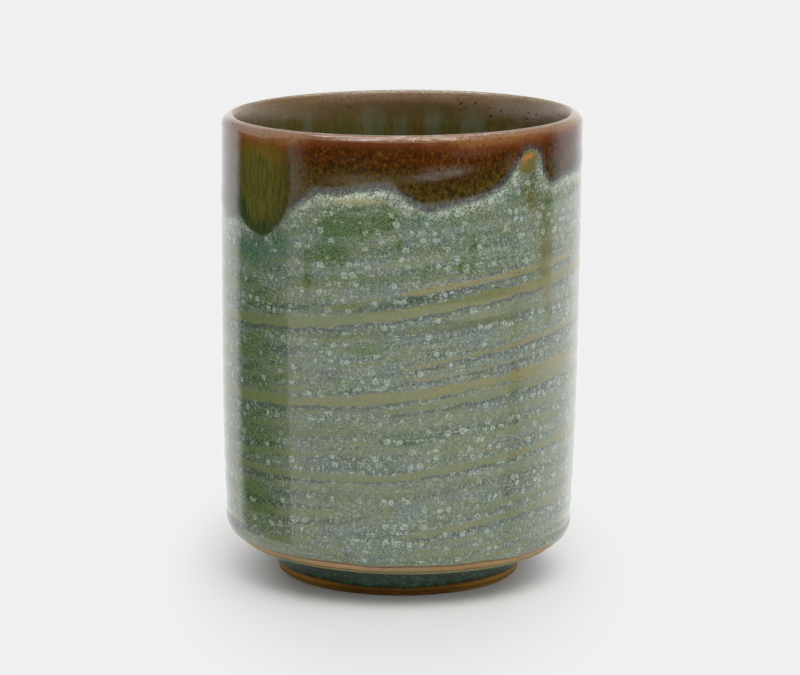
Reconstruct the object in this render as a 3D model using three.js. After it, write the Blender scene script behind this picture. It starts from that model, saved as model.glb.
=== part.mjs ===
// A straight-sided tea cup without a handle: thrown stoneware on a foot ring, with each coat of
// glaze that lies on the clay as a solid of its own. Millimetres, +Z up. The origin is the centre
// of the face that the cup stands on. Turns round the cup are counted from its front (-Y) towards
// its right (+X).
import * as THREE from 'three';

// The cup as it stands, glaze included
const cupHeight = 93;
const mouthRadius = 36;
const wallDraw = 1.05;
const hipTurn = 5.7;
const lipThickness = 3.9;
const wallThickness = 4.1;
const floorThickness = 4.2;
const wellCorner = 8;

// The foot ring, and how far it stands in from the sharp lower edge of the hip
const footHeight = 6.8;
const footInset = 6.75;
const footTaper = 0.25;
const footWidth = 4.6;
const footBevel = 0.6;

// The coats of glaze, and the hair's breadths between a coat and its clay and between two coats
const bodyCoat = 0.45;
const footCoat = 0.35;
const bond = 0.05;
const seam = 0.2;

// How far the coats reach
const dipDepth = 14;
const innerDipDepth = 5;
const bareHipDegrees = 38;
const hipEdgeDegrees = 70;
const bareHipEdge = 0.5;
const bareFootBand = 1.35;
const bareRecessBand = 2.2;

// The wall narrows towards the hip by this power of the way down, so it is straight at the top
const drawPower = 4;

// Facets round the cup, and steps along each part of the half section
const facets = 60;
const lipSteps = 6;
const hipSteps = 4;
const wallSteps = 4;
const dipSteps = 2;
const cornerSteps = 4;

// The edge that the rim glaze ran down to outside: at which turn, and how far down from the lip's
// round in shares of dipDepth. The part behind, which is out of sight, goes on in the same manner.
const outerEdgeShares = [
  [-0.2, 1.27], [-0.14, 1.41], [-0.11, 1.22], [-0.09, 0.88], [-0.07, 0.68], [-0.02, 0.59],
  [0.005, 0.7], [0.02, 0.9], [0.05, 0.82], [0.08, 0.68], [0.1, 0.46], [0.117, 0.14], [0.133, 0.25],
  [0.15, 0.6], [0.2, 0.6], [0.25, 0.7], [0.29, 1.02], [0.33, 0.74], [0.38, 0.58], [0.43, 0.86],
  [0.475, 1.24], [0.52, 1.18], [0.56, 0.7], [0.61, 0.58], [0.66, 0.8], [0.71, 0.7], [0.76, 1.1],
];

// The softer edge that it ran down to inside, in shares of innerDipDepth.
const innerEdgeShares = [
  [-0.2, 1.15], [-0.1, 0.9], [0, 1.05], [0.1, 0.85], [0.2, 1.1], [0.3, 0.95], [0.42, 1.2],
  [0.55, 0.8], [0.68, 1.05],
];

// Centres of the rounded parts, as a radius and a height
const hipCoatedTurn = hipTurn - bodyCoat;
const hipEdgeAngle = THREE.MathUtils.degToRad(hipEdgeDegrees);
const hipCentre = new THREE.Vector2(
  mouthRadius - wallDraw - hipTurn,
  footHeight + hipCoatedTurn * Math.sin(hipEdgeAngle),
);
const lipCentre = new THREE.Vector2(mouthRadius - lipThickness / 2, cupHeight - lipThickness / 2);
const wellTop = footHeight + floorThickness + wellCorner;
const wellCentre = new THREE.Vector2(hollowRadius(wellTop) - wellCorner, wellTop);

// The foot ring's radii, from the sharp lower edge of the clay's hip
const hipEdgeRadius = hipCentre.x + hipCoatedTurn * Math.cos(hipEdgeAngle);
const footTopRadius = hipEdgeRadius - footInset;
const footBaseRadius = footTopRadius - footTaper;
const footInnerRadius = footBaseRadius - footWidth;

// How far down a height is from the lip's round to the hip's, as a share.
function shareDown(height) {
  return (lipCentre.y - height) / (lipCentre.y - hipCentre.y);
}

function wallRadius(height) {
  return mouthRadius - wallDraw * shareDown(height) ** drawPower;
}

function hollowRadius(height) {
  return wallRadius(height) - THREE.MathUtils.lerp(lipThickness, wallThickness, shareDown(height));
}

// Stretches of the half section. Each leaves out its last point, where the next stretch starts.
// Its depth is how far it lies under the finished face.
function arc(centre, size, fromDegrees, toDegrees, steps) {
  return Array.from({ length: steps }, (_, step) => {
    const angle = THREE.MathUtils.degToRad(THREE.MathUtils.lerp(fromDegrees, toDegrees, step / steps));
    return new THREE.Vector2(Math.cos(angle), Math.sin(angle)).multiplyScalar(size).add(centre);
  });
}

function climb(fromHeight, toHeight, steps, radiusAt) {
  return Array.from({ length: steps }, (_, step) => {
    const height = THREE.MathUtils.lerp(fromHeight, toHeight, step / steps);
    return new THREE.Vector2(radiusAt(height), height);
  });
}

function outerWall(depth, fromHeight, toHeight, steps) {
  return climb(fromHeight, toHeight, steps, (height) => wallRadius(height) - depth);
}

function hollowWall(depth, fromHeight, toHeight, steps) {
  return climb(fromHeight, toHeight, steps, (height) => hollowRadius(height) + depth);
}

function lipRound(depth) {
  return arc(lipCentre, lipThickness / 2 - depth, 0, 180, lipSteps);
}

function well(depth) {
  return [
    ...arc(wellCentre, wellCorner + depth, 0, -90, cornerSteps),
    new THREE.Vector2(wellCentre.x, wellCentre.y - wellCorner - depth),
    new THREE.Vector2(0, wellCentre.y - wellCorner - depth),
  ];
}

// Share at a turn, eased between the places of a table that closes on itself round the cup.
function shareAt(places, turn) {
  const [firstTurn, firstShare] = places[0];
  const at = firstTurn + THREE.MathUtils.euclideanModulo(turn - firstTurn, 1);
  const closed = [...places, [firstTurn + 1, firstShare]];
  const next = closed.findIndex(([placeTurn]) => placeTurn > at);
  const [fromTurn, fromShare] = closed[next - 1];
  const [toTurn, toShare] = closed[next];
  return THREE.MathUtils.lerp(fromShare, toShare, THREE.MathUtils.smoothstep(at, fromTurn, toTurn));
}

function outerEdge(turn) {
  return lipCentre.y - dipDepth * shareAt(outerEdgeShares, turn);
}

function innerEdge(turn) {
  return lipCentre.y - innerDipDepth * shareAt(innerEdgeShares, turn);
}

// A solid turned about the cup's axis from a closed outline, which may change from turn to turn
// but keeps its number of points.
function turned(outlineAt) {
  const geometry = new THREE.LatheGeometry(outlineAt(0), facets);
  const position = geometry.getAttribute('position');
  const rows = geometry.parameters.points.length;
  for (let column = 0; column <= facets; column += 1) {
    const turn = column / facets;
    outlineAt(turn).forEach((point, row) => {
      const place = new THREE.Vector3().setFromCylindricalCoords(point.x, turn * 2 * Math.PI, point.y);
      position.setXYZ(column * rows + row, place.x, place.y, place.z);
    });
  }
  geometry.rotateX(Math.PI / 2);
  geometry.computeVertexNormals();
  return geometry;
}

function piece(name, geometry, color, roughness) {
  const mesh = new THREE.Mesh(geometry, new THREE.MeshStandardMaterial({ color, roughness, metalness: 0 }));
  mesh.name = name;
  return mesh;
}

// The thrown body: floor, hip, wall and lip in one clay. It lies a coat's depth under the glaze.
function clayBody() {
  const outline = [
    new THREE.Vector2(0, footHeight),
    ...arc(hipCentre, hipCoatedTurn, -hipEdgeDegrees, 0, hipSteps),
    ...outerWall(bodyCoat, hipCentre.y, lipCentre.y, wallSteps),
    ...lipRound(bodyCoat),
    ...hollowWall(bodyCoat, lipCentre.y, wellTop, wallSteps),
    ...well(bodyCoat),
  ];
  return turned(() => outline);
}

// The foot ring, luted face to face to the flat underside. Its outside is drawn in to the tread.
function footRing() {
  const inner = footInnerRadius + footCoat;
  const outer = footBaseRadius - footCoat;
  const outline = [
    new THREE.Vector2(inner + footBevel, 0),
    new THREE.Vector2(outer - footBevel, 0),
    new THREE.Vector2(outer, footBevel),
    new THREE.Vector2(footTopRadius - footCoat, footHeight),
    new THREE.Vector2(inner, footHeight),
    new THREE.Vector2(inner, footBevel),
    new THREE.Vector2(inner + footBevel, 0),
  ];
  return turned(() => outline);
}

// The grey-green coat, from the bare strip on the hip up to the rim glaze's edge.
function outerGlaze() {
  const line = (depth, top) => [
    ...arc(hipCentre, hipTurn - depth, -bareHipDegrees, 0, hipSteps / 2),
    ...outerWall(depth, hipCentre.y, top, wallSteps),
    new THREE.Vector2(wallRadius(top) - depth, top),
  ];
  return turned((turn) => {
    const top = outerEdge(turn) - seam;
    const face = line(0, top);
    return [...face, ...line(bodyCoat - bond, top).reverse(), face[0]];
  });
}

// The iron-brown coat, from its wavy edge outside over the lip to its softer edge inside.
function rimGlaze() {
  const line = (depth, outside, inside) => [
    ...outerWall(depth, outside, lipCentre.y, dipSteps),
    ...lipRound(depth),
    ...hollowWall(depth, lipCentre.y, inside, dipSteps),
    new THREE.Vector2(hollowRadius(inside) + depth, inside),
  ];
  return turned((turn) => {
    const edges = [outerEdge(turn), innerEdge(turn)];
    const face = line(0, ...edges);
    return [...face, ...line(bodyCoat - bond, ...edges).reverse(), face[0]];
  });
}

// The coat of the hollow, from the rim glaze's inner edge down to the floor's middle.
function linerGlaze() {
  const line = (depth, top) => [...hollowWall(depth, top, wellTop, wallSteps), ...well(depth)];
  return turned((turn) => {
    const top = innerEdge(turn) - seam;
    return [...line(bodyCoat - bond, top).reverse(), ...line(0, top)];
  });
}

// The dark coat on the foot ring's outside and the flat underside, short of the hip's sharp edge.
function footGlaze() {
  const line = (depth) => {
    const ceiling = footHeight - footCoat + depth;
    const slope = (height) => THREE.MathUtils.mapLinear(height, 0, footHeight, footBaseRadius, footTopRadius);
    return [
      new THREE.Vector2(slope(bareFootBand) - depth, bareFootBand),
      new THREE.Vector2(slope(ceiling) - depth, ceiling),
      new THREE.Vector2(hipEdgeRadius - bareHipEdge, ceiling),
    ];
  };
  const face = line(0);
  const outline = [...face, ...line(footCoat - bond).reverse(), face[0]];
  return turned(() => outline);
}

// The coat inside the foot ring.
function recessGlaze() {
  const line = (depth) => {
    const ceiling = footHeight - footCoat + depth;
    return [
      new THREE.Vector2(0, ceiling),
      new THREE.Vector2(footInnerRadius + depth, ceiling),
      new THREE.Vector2(footInnerRadius + depth, bareRecessBand),
    ];
  };
  const outline = [...line(0), ...line(footCoat - bond).reverse()];
  return turned(() => outline);
}

const cup = new THREE.Group();
cup.add(
  piece('clay_body', clayBody(), '#a08463', 0.85),
  piece('foot_ring', footRing(), '#6b5138', 0.85),
  piece('outer_glaze', outerGlaze(), '#8b917f', 0.2),
  piece('rim_glaze', rimGlaze(), '#4f2f19', 0.15),
  piece('liner_glaze', linerGlaze(), '#5d5a33', 0.2),
  piece('foot_glaze', footGlaze(), '#2f3b2a', 0.25),
  piece('recess_glaze', recessGlaze(), '#4a5140', 0.3),
);

export default cup;
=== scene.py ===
import math

import bmesh
import bpy
import numpy as np
from mathutils import Color, Matrix, Vector
from mathutils.kdtree import KDTree


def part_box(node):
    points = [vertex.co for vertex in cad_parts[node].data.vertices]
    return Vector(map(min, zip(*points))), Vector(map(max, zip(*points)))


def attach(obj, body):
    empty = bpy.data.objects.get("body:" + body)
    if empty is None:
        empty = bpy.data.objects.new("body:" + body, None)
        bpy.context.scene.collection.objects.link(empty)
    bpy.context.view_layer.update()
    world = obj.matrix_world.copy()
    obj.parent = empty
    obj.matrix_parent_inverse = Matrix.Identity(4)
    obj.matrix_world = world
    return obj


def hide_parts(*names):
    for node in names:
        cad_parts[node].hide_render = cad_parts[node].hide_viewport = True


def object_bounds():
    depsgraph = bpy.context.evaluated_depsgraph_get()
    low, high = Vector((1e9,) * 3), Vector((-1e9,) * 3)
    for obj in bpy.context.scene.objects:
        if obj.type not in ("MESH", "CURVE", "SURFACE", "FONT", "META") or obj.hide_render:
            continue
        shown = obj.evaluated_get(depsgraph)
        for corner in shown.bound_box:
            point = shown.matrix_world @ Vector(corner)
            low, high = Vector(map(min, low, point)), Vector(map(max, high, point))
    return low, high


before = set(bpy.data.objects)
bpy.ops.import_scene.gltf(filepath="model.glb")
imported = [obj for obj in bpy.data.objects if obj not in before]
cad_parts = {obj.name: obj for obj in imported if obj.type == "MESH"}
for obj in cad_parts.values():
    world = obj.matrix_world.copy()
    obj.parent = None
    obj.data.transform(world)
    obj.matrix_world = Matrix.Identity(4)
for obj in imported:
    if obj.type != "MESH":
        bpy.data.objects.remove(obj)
cad_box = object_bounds()
mm = 0.001

# Camera
# A long lens on a stand in front of the table, a little above the cup and looking down into its
# mouth. Its head leans half a degree, as it did when the photograph was taken.
camera_place = (0.0, -722.4 * mm, 190.1 * mm)
camera_pitch = math.radians(11.186)
camera_lean = math.radians(0.5)
film_width = 36.0
lens_length = 164.74
camera = bpy.data.objects.new("camera", bpy.data.cameras.new("camera"))
camera.data.sensor_width = film_width
camera.data.lens = lens_length
camera.matrix_world = (
    Matrix.Translation(camera_place)
    @ Matrix.Rotation(math.pi / 2 - camera_pitch, 4, "X")
    @ Matrix.Rotation(camera_lean, 4, "Z")
)
bpy.context.scene.collection.objects.link(camera)
bpy.context.scene.camera = camera
bpy.context.scene.view_settings.view_transform = "Standard"

# Clay body
# The thrown stoneware cylinder: floor, round hip, wall and lip in one clay. It was thrown on a
# wheel, so faint finger ridges climb round it and nothing is quite round or level. Glaze covers
# it but for a wiped strip low on the hip, where the clay fired tan.
cup_height = cad_box[1].z
mouth_radius = cad_box[1].x
foot_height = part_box("foot_ring")[1].z
coat = 0.45 * mm
wall_draw = 1.05 * mm
hip_turn = 5.7 * mm
hip_edge_degrees = 65.0
underside_degrees = 70.0
lip_round = 1.95 * mm
lip_thickness = 3.9 * mm
lip_inner_low = 85.5 * mm
wall_thickness = 4.1 * mm
floor_thickness = 4.2 * mm
well_corner = 8.0 * mm
bare_clay_sink = 0.22 * mm
rim_lean = 0.45 * mm
hip_lean = -0.25 * mm
ridge_pitch = 5.3 * mm
ridge_depth = 0.03 * mm
lump_depth = 0.04 * mm
lump_height = 11 * mm
lump_height_step = 4 * mm
spiral_climb = 15.3 * mm
wiped_degrees = 34.5
wiped_wander = 0.16 * mm
joined_within = mm / 1000
columns = 480

hip_rise = (hip_turn - coat) * math.sin(math.radians(underside_degrees))
hip_centre = (mouth_radius - wall_draw - hip_turn, foot_height + hip_rise)
lip_centre = (mouth_radius - lip_round, cup_height - lip_round)
well_top = foot_height + floor_thickness + well_corner
turns = np.linspace(0, 2 * math.pi, columns, endpoint=False)[:, None]
degrees = np.degrees(turns)
hand = np.random.default_rng(7)


def colour(red, green, blue):
    """A colour seen as red, green, blue out of 255, for a shader."""
    return (*Color((red / 255, green / 255, blue / 255)).from_srgb_to_scene_linear(), 1.0)


def eased(value, start, end):
    """0 before start and 1 after end, eased between them."""
    share = np.clip((value - start) / (end - start), 0, 1)
    return share * share * (3 - 2 * share)


def share_down(height):
    return (lip_centre[1] - height) / (lip_centre[1] - hip_centre[1])


def wall_radius(height):
    return mouth_radius - wall_draw * np.clip(share_down(height), 0, None) ** 4


def thickness(height):
    return lip_thickness + (wall_thickness - lip_thickness) * share_down(height)


def hollow_radius(height):
    drawn = np.clip((height - lip_inner_low) / (cup_height - lip_inner_low), 0, 1)
    return wall_radius(height) - lip_round - (thickness(height) - lip_round) * np.sqrt(1 - drawn * drawn)


well_centre = (float(hollow_radius(well_top)) - well_corner, well_top)


def degrees_from(middle):
    """Degrees round the cup from this place to each column, at most half way round."""
    return (degrees - middle + 180) % 360 - 180


def wobble(places, size, waves):
    """A seeded wander round the cup, at any turn in radians, that closes on itself."""
    total = 0
    for wave in waves:
        total = total + np.sin(wave * places + hand.uniform(0, 2 * math.pi)) * hand.uniform(0.4, 1)
    return size * total / len(waves)


def arc(centre, size, from_degrees, to_degrees, steps):
    """Part of a half section: a round stretch, without its last point."""
    angle = np.radians(np.linspace(from_degrees, to_degrees, steps, endpoint=False))[None, :]
    return centre[0] + size * np.cos(angle), centre[1] + size * np.sin(angle)


def climb(low, high, steps, radius_at, crowd=1.0):
    """Part of a half section: a stretch of wall, without its last point, crowded towards low."""
    height = low + (high - low) * np.linspace(0, 1, steps, endpoint=False)[None, :] ** crowd
    return radius_at(height), height


def lip_inside(depth, steps, upward=False):
    """Part of a half section: the drawn-out inner side of the lip, from its top down or back up."""
    ends = (0, 90) if upward else (90, 0)
    angle = np.radians(np.linspace(*ends, steps, endpoint=False))[None, :]
    height = lip_inner_low + (cup_height - depth - lip_inner_low) * np.sin(angle)
    inward = (thickness(height) - lip_round - depth) * np.cos(angle)
    return wall_radius(height) - lip_round - inward, height


def join(*stretches):
    """Stretches of a half section put end to end, for every turn."""
    parts = [[np.broadcast_to(side, (columns, side.shape[1])) for side in stretch] for stretch in stretches]
    return np.hstack([part[0] for part in parts]), np.hstack([part[1] for part in parts])


def point(radius, height):
    """One point of a half section, which may differ from turn to turn."""
    return [np.broadcast_to(np.asarray(side, float), (columns, 1)) for side in (radius, height)]


lump_turns = [hand.uniform(0, 2 * math.pi) for _ in range(4)]


def hand_wander(height):
    """How far the thrower's hand left the wall out of true: finger ridges that climb, and lumps."""
    ridge = np.sin(2 * math.pi * (height - spiral_climb * turns / (2 * math.pi)) / ridge_pitch)
    lumps = sum(
        np.sin((wave + 2) * turns + start + height / (lump_height + lump_height_step * wave))
        for wave, start in enumerate(lump_turns)
    )
    raised = eased(height, foot_height, foot_height + hip_turn)
    return raised * (ridge_depth * ridge + lump_depth * lumps / len(lump_turns))


def new_piece(name, corners, faces, finish):
    """A mesh of these corners and faces, in this finish, put in the scene."""
    mesh = bpy.data.meshes.new(name)
    mesh.from_pydata(corners, [], faces)
    mesh.materials.append(finish)
    piece = bpy.data.objects.new(name, mesh)
    bpy.context.scene.collection.objects.link(piece)
    return piece


def mark(piece, field, values):
    """Writes a number on every corner of a piece, for its shader to read by the field's name."""
    layer = piece.data.attributes.new(field, "FLOAT", "POINT")
    layer.data.foreach_set("value", values.astype(np.float32))


def turned(name, outline, finish, closes=True, fields=()):
    """A piece turned from its outline, left as far out of true as the cup is, with named fields."""
    radius, height = outline
    tilt = hip_lean + (rim_lean - hip_lean) * (1 - share_down(height))
    tilt = tilt * eased(height, 0, foot_height) * radius * np.sin(turns) / mouth_radius
    grown = radius + hand_wander(height) * np.clip(radius / mouth_radius, 0, 1)
    places = np.stack([grown * np.sin(turns), -grown * np.cos(turns), height + tilt], axis=-1)
    corners = np.arange(radius.size).reshape(radius.shape)
    beside = np.roll(corners, -1, axis=0)
    quads = np.stack([corners, beside, np.roll(beside, -1, axis=1), np.roll(corners, -1, axis=1)], axis=-1)
    if not closes:
        quads = quads[:, :-1]
    piece = new_piece(name, places.reshape(-1, 3).tolist(), quads.reshape(-1, 4).tolist(), finish)
    for field, values in dict(fields).items():
        mark(piece, field, np.broadcast_to(values, radius.shape).ravel())
    if not closes:
        shaped = bmesh.new()
        shaped.from_mesh(piece.data)
        bmesh.ops.remove_doubles(shaped, verts=shaped.verts, dist=joined_within)
        shaped.to_mesh(piece.data)
        shaped.free()
    piece.data.shade_smooth()
    return piece


class Amount:
    """A number that differs from place to place on a surface, worked out by shader nodes."""

    def __init__(self, finish, socket):
        self.finish = finish
        self.socket = socket

    def __add__(self, other):
        return self.finish.maths("ADD", self, other)

    def __sub__(self, other):
        return self.finish.maths("SUBTRACT", self, other)

    def __rsub__(self, other):
        return self.finish.maths("SUBTRACT", other, self)

    def __mul__(self, other):
        return self.finish.maths("MULTIPLY", self, other)

    def __abs__(self):
        return self.finish.maths("ABSOLUTE", self)

    def most(self, other):
        return self.finish.maths("MAXIMUM", self, other)

    def ease(self, start, end):
        """0 before start and 1 after end, eased between them."""
        feeds = {"Value": self, "From Min": start, "From Max": end}
        made = self.finish.node("ShaderNodeMapRange", feeds, interpolation_type="SMOOTHSTEP")
        return Amount(self.finish, made["Result"])

    def shaken(self, noise, reach):
        """The amount made larger where the noise is strong and smaller where it is weak."""
        return self + (noise - 0.5) * reach


def connect(tree, socket, value):
    """Gives a socket a number or a colour, or what another node makes."""
    if isinstance(value, Amount):
        value = value.socket
    if isinstance(value, bpy.types.NodeSocket):
        tree.links.new(value, socket)
    else:
        socket.default_value = value


def add_node(tree, kind, feeds=(), **settings):
    """A new node with its sockets fed. What it makes is returned."""
    made = tree.nodes.new(kind)
    for setting, value in settings.items():
        setattr(made, setting, value)
    for socket, value in dict(feeds).items():
        connect(tree, made.inputs[socket], value)
    return made.outputs


class Finish:
    """The look of one clay or glaze: its colour, built up layer by layer, its gloss and its bumps."""

    def __init__(self, name, base, roughness, ior):
        self.material = bpy.data.materials.new(name)
        self.material.use_nodes = True
        self.tree = self.material.node_tree
        self.shader = self.tree.nodes["Principled BSDF"]
        self.shader.inputs["Roughness"].default_value = roughness
        self.shader.inputs["IOR"].default_value = ior
        self.base = base
        self.place = self.node("ShaderNodeTexCoord")["Object"]
        self.axes = self.parts("ShaderNodeSeparateXYZ", self.place)

    def node(self, kind, feeds=(), **settings):
        return add_node(self.tree, kind, feeds, **settings)

    def parts(self, kind, whole):
        """The three numbers that a place or a colour is made of."""
        return [Amount(self, part) for part in self.node(kind, {0: whole})]

    def maths(self, operation, *values):
        return Amount(self, self.node("ShaderNodeMath", dict(enumerate(values)), operation=operation)[0])

    def vectors(self, operation, *values):
        return self.node("ShaderNodeVectorMath", dict(enumerate(values)), operation=operation)

    def field(self, name):
        return Amount(self, self.node("ShaderNodeAttribute", attribute_name=name)["Fac"])

    def over(self, under, *layers, blend="MIX"):
        """A colour with others laid over it in turn, each as thickly as its share says."""
        for top, share in layers:
            feeds = {0: share, 6: under, 7: top}
            under = self.node("ShaderNodeMix", feeds, data_type="RGBA", blend_type=blend)[2]
        return under

    def lay(self, top, share, blend="MIX"):
        """Lays a colour over all that the finish has so far."""
        self.base = self.over(self.base, (top, share), blend=blend)

    def noise(self, place, detail):
        feeds = {"Vector": place, "Scale": 1.0, "Detail": detail}
        return Amount(self, self.node("ShaderNodeTexNoise", feeds)["Fac"])

    def grain(self, size, stretch=1.0, detail=3.0):
        """Cloudy noise of this size, drawn out down the wall by stretch."""
        shrunk = (1 / size, 1 / size, 1 / (size * stretch))
        return self.noise(self.vectors("MULTIPLY", self.place, shrunk)[0], detail)

    def cells(self, size, flat=None):
        """Spots scattered this far apart, in the solid or on the wall laid flat: how far off the
        nearest is, and a colour of its own."""
        feeds = {"Vector": self.place if flat is None else flat, "Scale": 1 / size}
        made = self.node("ShaderNodeTexVoronoi", feeds, voronoi_dimensions="3D" if flat is None else "2D")
        return Amount(self, made["Distance"]), made["Color"]

    def done(self, bumps, roughness=None):
        """Feeds the shader with the colour, and with bumps as pairs of height and depth."""
        normal = {}
        for height, depth in bumps:
            feeds = {"Height": height, "Distance": depth, **normal}
            normal = {"Normal": self.node("ShaderNodeBump", feeds)[0]}
        feeds = {"Base Color": self.base, **normal}
        if roughness is not None:
            feeds["Roughness"] = roughness
        for socket, value in feeds.items():
            connect(self.tree, self.shader.inputs[socket], value)
        return self.material


tan_clay = colour(186, 150, 100)
pink_clay = colour(168, 140, 102)
ochre_clay = colour(172, 132, 72)
clay_streak = colour(138, 100, 60)
dark_edge_line = colour(88, 52, 28)
glazed_edge = colour(134, 130, 80)
wiped_edge_line = 0.5 * mm
# Where the sponge cut lower or higher: degrees round the cup, half width, and degrees down the hip
wiped_dips = [
    (-8, 11, 3.4), (30, 12, -3.0), (-75, 20, 2.0), (140, 16, 3.0), (230, 14, -2.4), (57, 13, -5.0),
]
arris_line = 0.5 * mm
wiped_waves = (1, 2, 5, 11, 23, 41, 67)

# How far below its widest place the hip was wiped, in radians round its curve
wiped_turn = math.radians(wiped_degrees) + wobble(turns, wiped_wander, wiped_waves) / hip_turn
for middle, half_width, dip in wiped_dips:
    wiped_turn = wiped_turn + math.radians(dip) * eased(np.abs(degrees_from(middle)), half_width, 0)
bare_length = math.radians(hip_edge_degrees - wiped_degrees) * hip_turn

bare = Finish("bare_tan_stoneware", tan_clay, roughness=0.55, ior=1.45)
below_wipe = bare.field("below_wipe")
below_arris = below_wipe - bare_length
streaks = bare.grain(1.2 * mm, stretch=0.12, detail=4)
bare.lay(ochre_clay, bare.grain(14 * mm).ease(0.42, 0.62))
bare.lay(pink_clay, bare.grain(9 * mm, stretch=2).ease(0.5, 0.62))
bare.lay(clay_streak, streaks.ease(0.52, 0.7))
# darker lines along the wiped glaze edge and just above the arris
bare.lay(dark_edge_line, below_wipe.ease(wiped_edge_line, wiped_edge_line / 3))
bare.lay(dark_edge_line, below_arris.ease(-2.2 * arris_line, -1.4 * arris_line) * 0.7)
bare.lay(glazed_edge, below_arris.ease(-1.1 * arris_line, -0.7 * arris_line))
bare_stoneware = bare.done([(bare.grain(0.35 * mm), 0.03 * mm), (streaks, 0.05 * mm)])

clay_hip = arc(hip_centre, hip_turn - bare_clay_sink, -hip_edge_degrees, 0, 40)
clay_outline = join(
    point(0, foot_height),
    point(clay_hip[0][0, 0], foot_height),
    clay_hip,
    climb(hip_centre[1], lip_centre[1], 24, lambda height: wall_radius(height) - coat),
    arc(lip_centre, lip_round - coat, 0, 90, 10),
    lip_inside(coat, 14),
    climb(lip_inner_low, well_top, 20, lambda height: hollow_radius(height) + coat),
    arc(well_centre, well_corner + coat, 0, -90, 12),
    point(well_centre[0], well_centre[1] - well_corner - coat),
    point(0, well_centre[1] - well_corner - coat),
)


def turn_below(outline):
    """How far round the hip each place of an outline lies, in radians below its widest place."""
    radius, height = outline
    return np.arctan2(hip_centre[1] - height, np.maximum(radius - hip_centre[0], 0.1 * mm))


on_hip = (clay_outline[0] > hip_centre[0]) & (clay_outline[1] < hip_centre[1])
below = np.where(on_hip, (turn_below(clay_outline) - wiped_turn) * hip_turn, 0.0)
clay_body = turned(
    "thrown_clay_body", clay_outline, bare_stoneware, closes=False, fields={"below_wipe": below}
)
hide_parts("clay_body")
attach(clay_body, "root")

# Foot ring
# A ring of the same clay under the body, turned true with a small bevel. The dark glaze round it
# was wiped off its lowest part, which fired to a toasted brown. A golden sheen is painted on at its
# left and right sides, and darker lines run along its tread, its bevel and the glaze.
foot_ring_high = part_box("foot_ring")[1]
foot_spread = 0.6 * mm
foot_top_radius = foot_ring_high.x + foot_spread
foot_taper = 0.25 * mm
foot_width = 3.9 * mm
foot_bevel = 0.6 * mm
tread_round = 0.25 * mm
toasted_clay = colour(104, 66, 8)
toasted_light = colour(136, 94, 18)
side_sheen_gold = colour(180, 134, 34)
dark_foot_line = colour(56, 36, 8)

toasted = Finish("toasted_foot_stoneware", toasted_clay, roughness=0.5, ior=1.3)
foot_up = toasted.axes[2]
toasted.lay(toasted_light, toasted.grain(1.5 * mm, stretch=0.08, detail=4).ease(0.48, 0.66))
# a golden sheen painted on at the ring's left and right sides
toasted.lay(side_sheen_gold, abs(toasted.axes[0]).ease(7 * mm, 20 * mm) * 0.6)
# darker lines along the tread's edge, the bevel and under the glaze
toasted.lay(dark_foot_line, foot_up.ease(0.72 * mm, 0.9 * mm) * foot_up.ease(1.15 * mm, 0.95 * mm) * 0.8)
toasted.lay(dark_foot_line, foot_up.ease(1.6 * mm, 2.2 * mm))
toasted.lay(dark_foot_line, foot_up.ease(0.3 * mm, 0.05 * mm))
toasted_stoneware = toasted.done([(toasted.grain(0.3 * mm), 0.03 * mm)])

foot_base_radius = foot_top_radius - foot_taper
foot_inner_radius = foot_base_radius - foot_width


def foot_side(height):
    return foot_base_radius + foot_taper * height / foot_height


foot_outline = join(
    point(foot_inner_radius + foot_bevel, 0),
    arc((foot_base_radius - foot_bevel - tread_round, tread_round), tread_round, -90, -45, 3),
    point(foot_base_radius - tread_round / 3, foot_bevel - tread_round / 3),
    point(foot_base_radius, foot_bevel + tread_round),
    climb(2 * foot_bevel, foot_height + coat, 6, foot_side),
    point(foot_top_radius, foot_height + coat),
    point(foot_inner_radius, foot_height + coat),
    point(foot_inner_radius, foot_bevel + tread_round),
    point(foot_inner_radius + tread_round / 3, foot_bevel - tread_round / 3),
)
foot_ring = turned("turned_foot_ring", foot_outline, toasted_stoneware)
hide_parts("foot_ring")
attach(foot_ring, "root")

# Wall glaze
# The grey-green coat that the whole outside was dipped in. It crystallised as it cooled, so small
# pale rings crowd it, and where it ran thin over the finger ridges it left flat olive lines that
# climb round the cup. The brown rim glaze lies over its top edge and has stained it below.
glaze_edge_round = 0.2 * mm
under_rim_lap = 1.1 * mm
under_rim_sink = 0.3 * mm

# Where the rim glaze stopped: degrees round the cup from its front, and height
drip_places = [
    (-60.8, 74.3), (-52.7, 72.5), (-47.8, 72.1), (-43.8, 73.2), (-40.5, 74.9), (-37.3, 76.8),
    (-34.0, 78.7), (-30.0, 80.3), (-25.9, 81.6), (-20.2, 81.6), (-14.1, 82.3), (-8.0, 82.8),
    (-4.1, 82.8), (-0.8, 82.0), (2.4, 80.5), (5.7, 79.0), (8.1, 78.5), (12.2, 79.0), (16.3, 79.5),
    (20.3, 80.0), (24.4, 80.5), (28.4, 81.3), (32.5, 82.5), (35.8, 84.6), (38.6, 86.9),
    (41.4, 89.0), (45.2, 88.9), (47.9, 87.5), (49.4, 84.6), (51.7, 82.7), (62.4, 82.7),
    (73.8, 82.6), (90.0, 81.2), (104.0, 76.8), (119.0, 80.7), (137.0, 82.9), (155.0, 79.0),
    (171.0, 73.7), (187.0, 74.5), (202.0, 81.2), (220.0, 82.9), (238.0, 79.9), (256.0, 81.2),
    (274.0, 75.7), (288.0, 73.6),
]
drip_ruggedness = 0.16 * mm

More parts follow.
